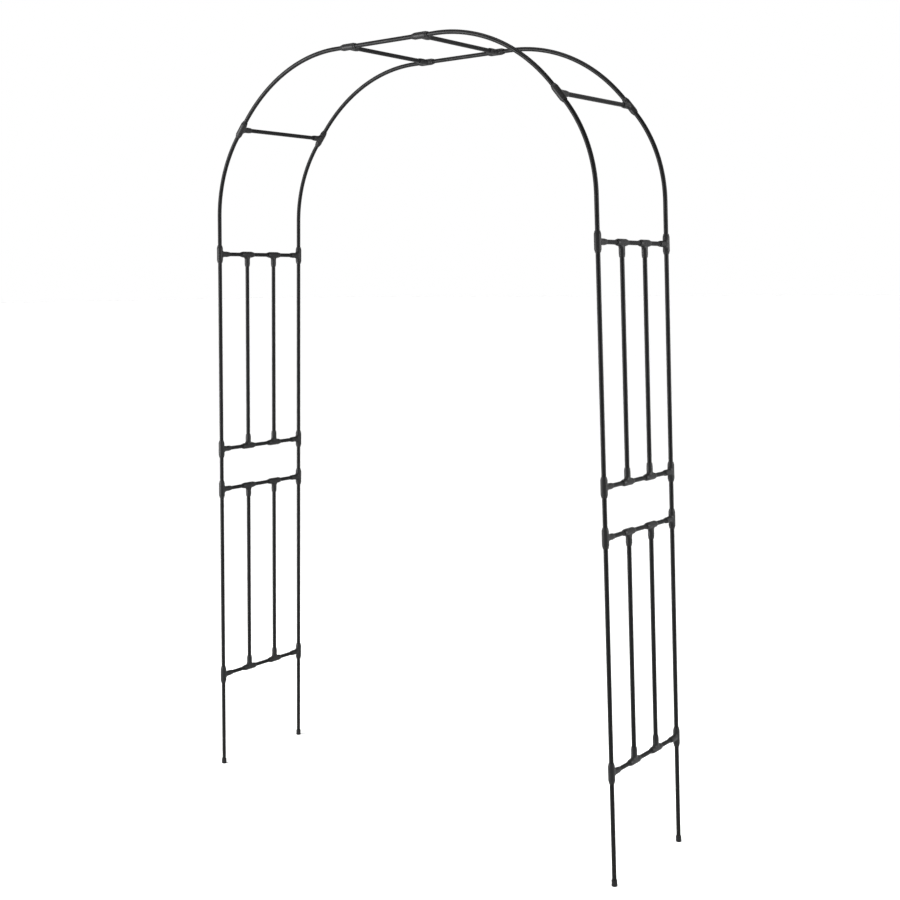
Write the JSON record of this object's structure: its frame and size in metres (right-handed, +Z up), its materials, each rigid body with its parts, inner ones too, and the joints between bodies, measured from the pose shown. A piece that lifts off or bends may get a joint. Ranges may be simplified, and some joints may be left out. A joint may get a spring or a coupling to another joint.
{
  "type": "garden trellis arch",
  "caption": "Free-standing walk-through garden arch of black tubes and moulded tees, with a trellis panel on each side and open rungs over the top.",
  "frame": {"origin": "on the ground, midway between the four feet", "axes": "+X to the right across the walk-through, +Y through the arch from front to back, +Z up"},
  "size_m": [1.6256, 0.393, 2.405],
  "materials": {
    "coated_tube": "satin black powder coat on thin steel tube",
    "tee_plastic": "fine-textured black moulded plastic"
  },
  "bodies": {
    "root": {"stake_left_front": "coated_tube", "post_lower_left_front": "coated_tube", "post_gap_left_front": "coated_tube", "post_upper_left_front": "coated_tube", "hoop_lower_left_front": "coated_tube", "hoop_upper_left_front": "coated_tube", "stake_left_back": "coated_tube", "post_lower_left_back": "coated_tube", "post_gap_left_back": "coated_tube", "post_upper_left_back": "coated_tube", "hoop_lower_left_back": "coated_tube", "hoop_upper_left_back": "coated_tube", "rung_bottom_left": "coated_tube", "rung_gap_low_left": "coated_tube", "rung_gap_high_left": "coated_tube", "rung_spring_left": "coated_tube", "tees_bottom_left": "tee_plastic", "tees_gap_low_left": "tee_plastic", "tees_gap_high_left": "tee_plastic", "tees_spring_left": "tee_plastic", "bar_lower_left_1": "coated_tube", "bar_lower_left_2": "coated_tube", "bar_upper_left_1": "coated_tube", "bar_upper_left_2": "coated_tube", "bar_tees_left": "tee_plastic", "rung_shoulder_left": "coated_tube", "rung_crown_left": "coated_tube", "stake_right_front": "coated_tube", "post_lower_right_front": "coated_tube", "post_gap_right_front": "coated_tube", "post_upper_right_front": "coated_tube", "hoop_lower_right_front": "coated_tube", "hoop_upper_right_front": "coated_tube", "stake_right_back": "coated_tube", "post_lower_right_back": "coated_tube", "post_gap_right_back": "coated_tube", "post_upper_right_back": "coated_tube", "hoop_lower_right_back": "coated_tube", "hoop_upper_right_back": "coated_tube", "rung_bottom_right": "coated_tube", "rung_gap_low_right": "coated_tube", "rung_gap_high_right": "coated_tube", "rung_spring_right": "coated_tube", "tees_bottom_right": "tee_plastic", "tees_gap_low_right": "tee_plastic", "tees_gap_high_right": "tee_plastic", "tees_spring_right": "tee_plastic", "bar_lower_right_1": "coated_tube", "bar_lower_right_2": "coated_tube", "bar_upper_right_1": "coated_tube", "bar_upper_right_2": "coated_tube", "bar_tees_right": "tee_plastic", "rung_shoulder_right": "coated_tube", "rung_crown_right": "coated_tube", "crown_tube_front": "coated_tube", "crown_tube_back": "coated_tube", "tees_shoulder": "tee_plastic", "tees_crown": "tee_plastic", "foot_caps": "tee_plastic"}
  },
  "joints": []
}
